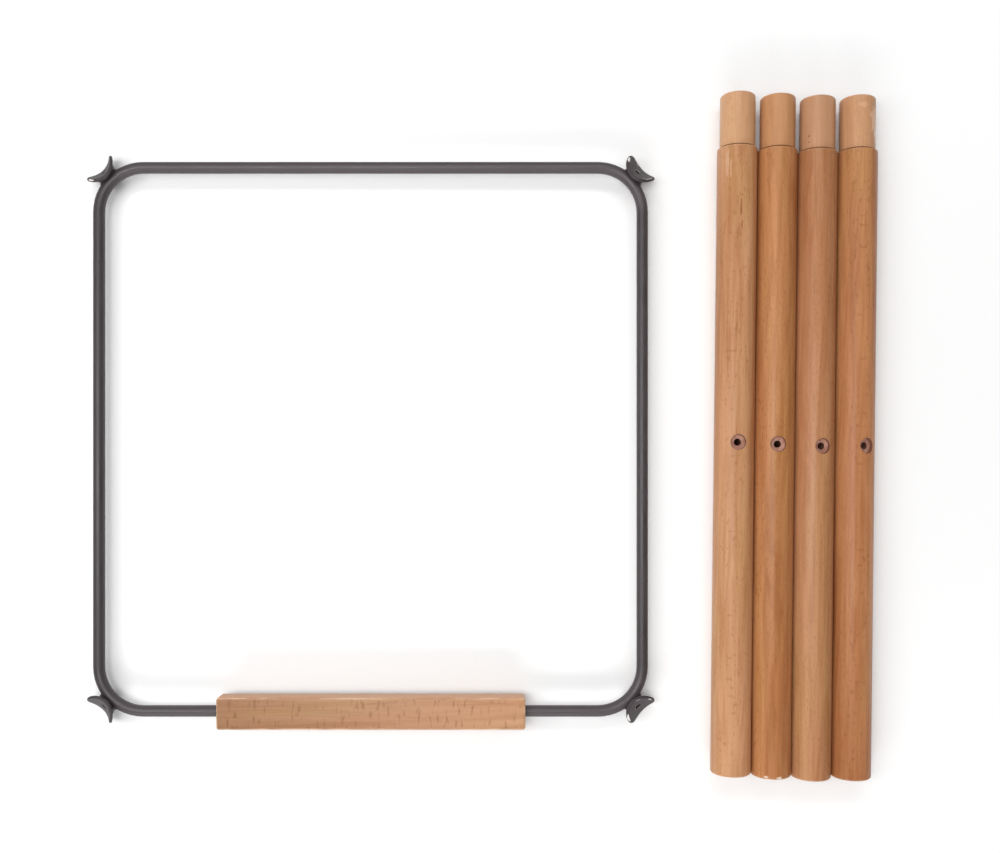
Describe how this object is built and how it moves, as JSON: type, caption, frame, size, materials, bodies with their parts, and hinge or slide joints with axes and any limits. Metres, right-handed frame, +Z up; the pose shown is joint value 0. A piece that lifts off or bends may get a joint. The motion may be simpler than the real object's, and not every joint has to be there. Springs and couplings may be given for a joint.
{
  "type": "knock-down chair leg and footrest set",
  "caption": "Knocked-down chair understructure laid flat: round beech legs with tenons and bolt holes, beside a square bent-rod ring with a wooden footrest and saddle plates at its corners.",
  "frame": {"origin": "middle of the laid-out set, on the floor", "axes": "+Z up, +Y along the legs from foot to tenon, +X from the ring to the legs; the footrest is on the ring's -Y rail"},
  "size_m": [0.7998, 0.6868, 0.04],
  "materials": {
    "painted_steel": "satin",
    "weld_metal": "satin",
    "screw_steel": "satin",
    "beech_footrest": "satin",
    "beech_leg": "satin"
  },
  "bodies": {
    "frame": {"ring_rod": "painted_steel", "footrest": "beech_footrest", "footrest_screw_left": "screw_steel", "footrest_screw_right": "screw_steel", "boss_rear_right": "painted_steel", "weld_rod_rear_right": "weld_metal", "saddle_rear_right": "painted_steel", "weld_saddle_rear_right": "weld_metal", "boss_rear_left": "painted_steel", "weld_rod_rear_left": "weld_metal", "saddle_rear_left": "painted_steel", "weld_saddle_rear_left": "weld_metal", "boss_front_left": "painted_steel", "weld_rod_front_left": "weld_metal", "saddle_front_left": "painted_steel", "weld_saddle_front_left": "weld_metal", "boss_front_right": "painted_steel", "weld_rod_front_right": "weld_metal", "saddle_front_right": "painted_steel", "weld_saddle_front_right": "weld_metal"},
    "first_leg": {"first_leg": "beech_leg"},
    "second_leg": {"second_leg": "beech_leg"},
    "third_leg": {"third_leg": "beech_leg"},
    "fourth_leg": {"fourth_leg": "beech_leg"}
  },
  "joints": [
    {"name": "first_leg_lift", "type": "slide", "parent": "frame", "child": "first_leg", "axis": [0, 0, 1], "range_m": [0, 0.2]},
    {"name": "second_leg_lift", "type": "slide", "parent": "frame", "child": "second_leg", "axis": [0, 0, 1], "range_m": [0, 0.2]},
    {"name": "third_leg_lift", "type": "slide", "parent": "frame", "child": "third_leg", "axis": [0, 0, 1], "range_m": [0, 0.2]},
    {"name": "fourth_leg_lift", "type": "slide", "parent": "frame", "child": "fourth_leg", "axis": [0, 0, 1], "range_m": [0, 0.2]}
  ]
}
